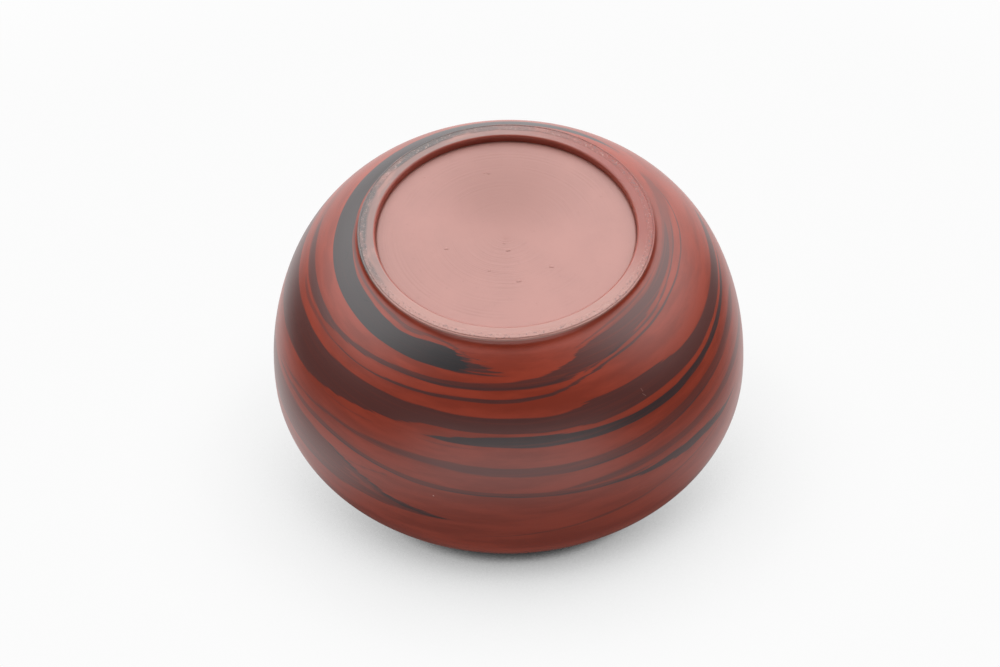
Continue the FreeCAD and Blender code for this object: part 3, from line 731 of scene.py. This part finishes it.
def studio_world(look):
    """Soft white room: pale floor, bright ceiling box behind the bowl and a dim side by the camera.

    Each easing below runs between two shares of the way toward a side of the room, from -1 to 1, and
    ends with the light at each of them.
    """
    right, _, back, above = view_axes(look)
    front = (back - above * back.dot(above)).normalized()
    ceiling = above * math.cos(BOX_LEAN) - front * math.sin(BOX_LEAN)
    world = bpy.data.worlds.new("white_studio")
    world.use_nodes = True
    tree = world.node_tree
    tree.nodes.clear()
    place = add(tree, "ShaderNodeTexCoord").outputs["Generated"]
    to_above, to_front, to_right, to_box = (
        add(tree, "ShaderNodeVectorMath", [place, side], operation="DOT_PRODUCT")
        for side in (above, front, right, ceiling))
    across = add(tree, "ShaderNodeMath", [to_right], operation="ABSOLUTE")

    walls = add(tree, "ShaderNodeMapRange", [to_above, 0.05, 0.55, 0.12, 2.8], **EASY)
    for toward, low, high, light, far_light in ((to_front, 0.1, 0.6, 1.0, 0.08),
                                                (across, 0.15, 0.7, 0.45, 1.15)):
        share = add(tree, "ShaderNodeMapRange", [toward, low, high, light, far_light], **EASY)
        walls = add(tree, "ShaderNodeMath", [walls, share], operation="MULTIPLY")
    behind = add(tree, "ShaderNodeMapRange", [to_front, -0.85, -0.5, 1.3, 0.0], **EASY)
    walls = add(tree, "ShaderNodeMath", [walls, behind], operation="MAXIMUM")

    ground = add(tree, "ShaderNodeMapRange", [to_front, -0.6, 0.2, 1.2, 1.8], **EASY)
    straight = add(tree, "ShaderNodeMapRange", [to_front, -0.5, 0.1, 0.9, 0.1], **EASY)
    below = add(tree, "ShaderNodeMapRange", [to_above, -0.95, -0.6, straight, 1.0], **EASY)
    ground = add(tree, "ShaderNodeMath", [ground, below], operation="MULTIPLY")
    beside = add(tree, "ShaderNodeMapRange", [across, 0.45, 0.85, 0.0, 0.95], **EASY)
    slope = add(tree, "ShaderNodeMath", [to_right, 0.07, to_above], operation="MULTIPLY_ADD")
    raised = add(tree, "ShaderNodeMapRange", [slope, -0.72, -0.42], **EASY)
    beside = add(tree, "ShaderNodeMath", [beside, raised], operation="MULTIPLY")
    beside = add(tree, "ShaderNodeMath", [1.0, beside], operation="SUBTRACT")
    ground = add(tree, "ShaderNodeMath", [ground, beside], operation="MULTIPLY")

    over = add(tree, "ShaderNodeMapRange", [to_above, -0.1, 0.02], **EASY)
    level = add(tree, "ShaderNodeMix", {0: over, 2: ground, 3: walls})
    box = add(tree, "ShaderNodeMapRange", [to_box, math.cos(BOX_EDGE), math.cos(BOX_FULL)], **EASY)
    level = add(tree, "ShaderNodeMath", [box, BOX_LIGHT, level], operation="MULTIPLY_ADD")
    white = (1.0, 1.0, 1.0, 1.0)
    room = add(tree, "ShaderNodeBackground", {"Color": white, "Strength": level})
    plain = add(tree, "ShaderNodeBackground", {"Color": white, "Strength": 1.0})
    seen = add(tree, "ShaderNodeLightPath").outputs["Is Camera Ray"]
    both = add(tree, "ShaderNodeMixShader", [seen, room, plain])
    add(tree, "ShaderNodeOutputWorld", {"Surface": both})
    bpy.context.scene.world = world


# Operators.


STEPS_ROUND = 600  # corners round the wall
OUTER_STEP, INNER_STEP = 0.8, 2.0  # how far apart the rows of the wall's two faces lie, in mm
STRAY = 0.12  # how far the thrown wall strays from round, in mm


class BOWL_OT_wall(bpy.types.Operator):
    """Builds the burnished marbled wall with its foot ring, cove, lip and inside"""

    bl_idname = "bowl.wall"
    bl_label = "Marbled wall"

    def execute(self, context):
        profile = Profile(context.scene.bowl_sizes)
        ring = profile.ring_rows()
        rows = ring + profile.outer_rows(OUTER_STEP)
        rows += profile.lip_rows() + profile.inner_rows(INNER_STEP)
        edge = len(ring)
        distances = [0.0] * len(rows)
        for i in range(edge - 1, -1, -1):
            distances[i] = distances[i + 1] - math.dist(rows[i], rows[i + 1])
        for i in range(edge + 1, len(rows)):
            length = math.dist(rows[i - 1], rows[i])
            if i <= edge + profile.cove_rows:
                length *= profile.cove_length / profile.drawn_cove
            distances[i] = distances[i - 1] + length

        def wobble(x, y, height):
            """How far the wall strays at a point: nothing at the foot, which is turned true."""
            slow = noise.noise(Vector((x * 1.1, y * 1.1, height / 30)))
            return STRAY * slow * min(1.0, max(0.0, (height - 3) / 20))

        mesh = turned_mesh("burnished_wall", rows, distances, STEPS_ROUND, wobble, joined=True)
        material = burnished_marbled_clay(context.scene.bowl_clays)
        placed("burnished_wall", mesh, material, "red_clay", "bowl_wall", *SEAM_NODES)
        return {"FINISHED"}


class BOWL_OT_base_disc(bpy.types.Operator):
    """Builds the plain base disc inside the foot ring, with its turning rings"""

    bl_idname = "bowl.base_disc"
    bl_label = "Base disc"

    def execute(self, context):
        sizes = context.scene.bowl_sizes
        low, high = sizes.recess, sizes.recess + sizes.floor
        near_axis = 0.01  # the innermost ring, in steps, which the caps close
        under = [(sizes.ring_inner * max(i, near_axis) / 60, low) for i in range(61)]
        above = [(sizes.ring_inner * max(i, near_axis) / 20, high) for i in range(20, -1, -1)]
        rows = under + above
        mesh = turned_mesh("smoothed_base", rows, [radius for radius, _ in rows], 240)
        material = smoothed_base_clay(context.scene.bowl_clays)
        placed("smoothed_base", mesh, material, "base_clay", "base_disc")
        return {"FINISHED"}


# Crumbs of clay on the base disc, as (across, away, size) in mm, seen from the crumbs' own bearing.
CRUMBS = [(-4.6, 24.0, 0.55), (-5.8, 24.2, 0.4), (-0.7, -4.0, 0.45), (0.5, -6.7, 0.7),
          (12.5, -13.4, 0.65), (3.2, -18.5, 0.7), (-17.0, -5.5, 0.6), (24.0, -4.2, 0.35),
          (-23.0, 23.0, 0.4), (15.0, 18.5, 0.35), (-4.9, -14.3, 0.5), (-21.6, -23.0, 0.35)]
CRUMBS_BEARING = math.radians(5)
CRUMB_ROWS, CRUMB_SIDES = 4, 10
SUNK, TALL = 0.05, 0.24  # how far a crumb is set into the disc in mm, and its height for its size


class BOWL_OT_crumbs(bpy.types.Operator):
    """Builds the crumbs of clay left on the base disc by the turning tool"""

    bl_idname = "bowl.crumbs"
    bl_label = "Clay crumbs"

    def execute(self, context):
        low = context.scene.bowl_sizes.recess
        points, faces = [], []
        turn_across, turn_along = math.cos(CRUMBS_BEARING), math.sin(CRUMBS_BEARING)
        for number, (across, away, size) in enumerate(CRUMBS):
            x = -across * turn_across - away * turn_along
            y = -across * turn_along + away * turn_across
            first = len(points)
            for row in range(CRUMB_ROWS):
                turn = row / (CRUMB_ROWS - 1) * math.pi / 2
                for i in range(CRUMB_SIDES):
                    angle = i * 2 * math.pi / CRUMB_SIDES + number
                    jag = 1 + 0.35 * noise.noise(Vector((math.cos(angle), math.sin(angle), number)))
                    reach = size * jag * math.cos(turn * 0.98)
                    points.append(((x + reach * 1.3 * math.cos(angle)) * MM,
                                   (y + reach * 0.8 * math.sin(angle)) * MM,
                                   (low + SUNK - TALL * size * math.sin(turn)) * MM))
            top = first + (CRUMB_ROWS - 1) * CRUMB_SIDES
            for start in range(first, top, CRUMB_SIDES):
                above = start + CRUMB_SIDES
                for i in range(CRUMB_SIDES):
                    j = (i + 1) % CRUMB_SIDES
                    faces.append((start + i, above + i, above + j, start + j))
            faces.append(tuple(range(first, first + CRUMB_SIDES)))
            faces.append(tuple(range(top, top + CRUMB_SIDES))[::-1])
        mesh = bpy.data.meshes.new("clay_crumbs")
        mesh.from_pydata(points, [], faces)
        mesh.polygons.foreach_set("use_smooth", [True] * len(mesh.polygons))
        crumbs = bpy.data.objects.new("clay_crumbs", mesh)
        context.scene.collection.objects.link(crumbs)
        mesh.materials.append(bpy.data.materials["smoothed_base_clay"])
        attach(crumbs, "root")
        return {"FINISHED"}


class BOWL_OT_stage(bpy.types.Operator):
    """Sets the pale tables, the soft light and the camera"""

    bl_idname = "bowl.stage"
    bl_label = "Stage"

    def execute(self, context):
        look, sizes = context.scene.bowl_stage, context.scene.bowl_sizes
        right, up, back, above = view_axes(look)
        away = Vector((-math.sin(look.bearing), math.cos(look.bearing), 0))
        belly = Vector((0, 0, sizes.belly_height)) * MM
        profile = Profile(sizes)
        lip = off(profile.neck, profile.neck_radius - sizes.wall / 2, -profile.lip_angle)
        contact = Vector((0, 0, lip[1])) * MM - away * lip[0] * MM - above * sizes.wall / 2 * MM
        # Within 5 cm of where the lip rests, the clay mirrors this paper as a painted reflection,
        # darkened for the shade there.
        table("table_under_lip", contact, above, 0.05)
        table("table_under_foot", Vector((0, 0, 0)), Vector((0, 0, 1)), 0.0)
        studio_world(look)

        lens = bpy.data.cameras.new("camera")
        lens.lens = look.lens
        camera = bpy.data.objects.new("camera", lens)
        side = right * math.cos(look.roll) - up * math.sin(look.roll)
        top = right * math.sin(look.roll) + up * math.cos(look.roll)
        camera.matrix_world = Matrix((side, top, back)).transposed().to_4x4()
        camera.location = belly + (back * look.reach - side * look.aside + top * look.over) * MM
        context.scene.collection.objects.link(camera)
        context.scene.camera = camera
        context.scene.view_settings.view_transform = "Standard"
        return {"FINISHED"}


class BOWL_PT_panel(bpy.types.Panel):
    """Lists the bowl's pieces and its sizes and colours"""

    bl_idname = "BOWL_PT_panel"
    bl_label = "Marbled bowl"
    bl_space_type = "VIEW_3D"
    bl_region_type = "UI"
    bl_category = "Bowl"

    def draw(self, context):
        for operator in OPERATORS:
            self.layout.operator(operator.bl_idname)
        for group in (context.scene.bowl_sizes, context.scene.bowl_clays, context.scene.bowl_stage):
            box = self.layout.box()
            for name in group.__annotations__:
                box.prop(group, name)


OPERATORS = (BOWL_OT_wall, BOWL_OT_base_disc, BOWL_OT_crumbs, BOWL_OT_stage)
CLASSES = (BowlSizes, BowlClays, StageLook) + OPERATORS + (BOWL_PT_panel,)


def register():
    for kind in CLASSES:
        bpy.utils.register_class(kind)
    bpy.types.Scene.bowl_sizes = PointerProperty(type=BowlSizes)
    bpy.types.Scene.bowl_clays = PointerProperty(type=BowlClays)
    bpy.types.Scene.bowl_stage = PointerProperty(type=StageLook)


def unregister():
    del bpy.types.Scene.bowl_stage
    del bpy.types.Scene.bowl_clays
    del bpy.types.Scene.bowl_sizes
    for kind in reversed(CLASSES):
        bpy.utils.unregister_class(kind)


def main():
    register()
    bpy.ops.bowl.wall()
    bpy.ops.bowl.base_disc()
    bpy.ops.bowl.crumbs()
    bpy.ops.bowl.stage()


if __name__ == "__main__":
    main()
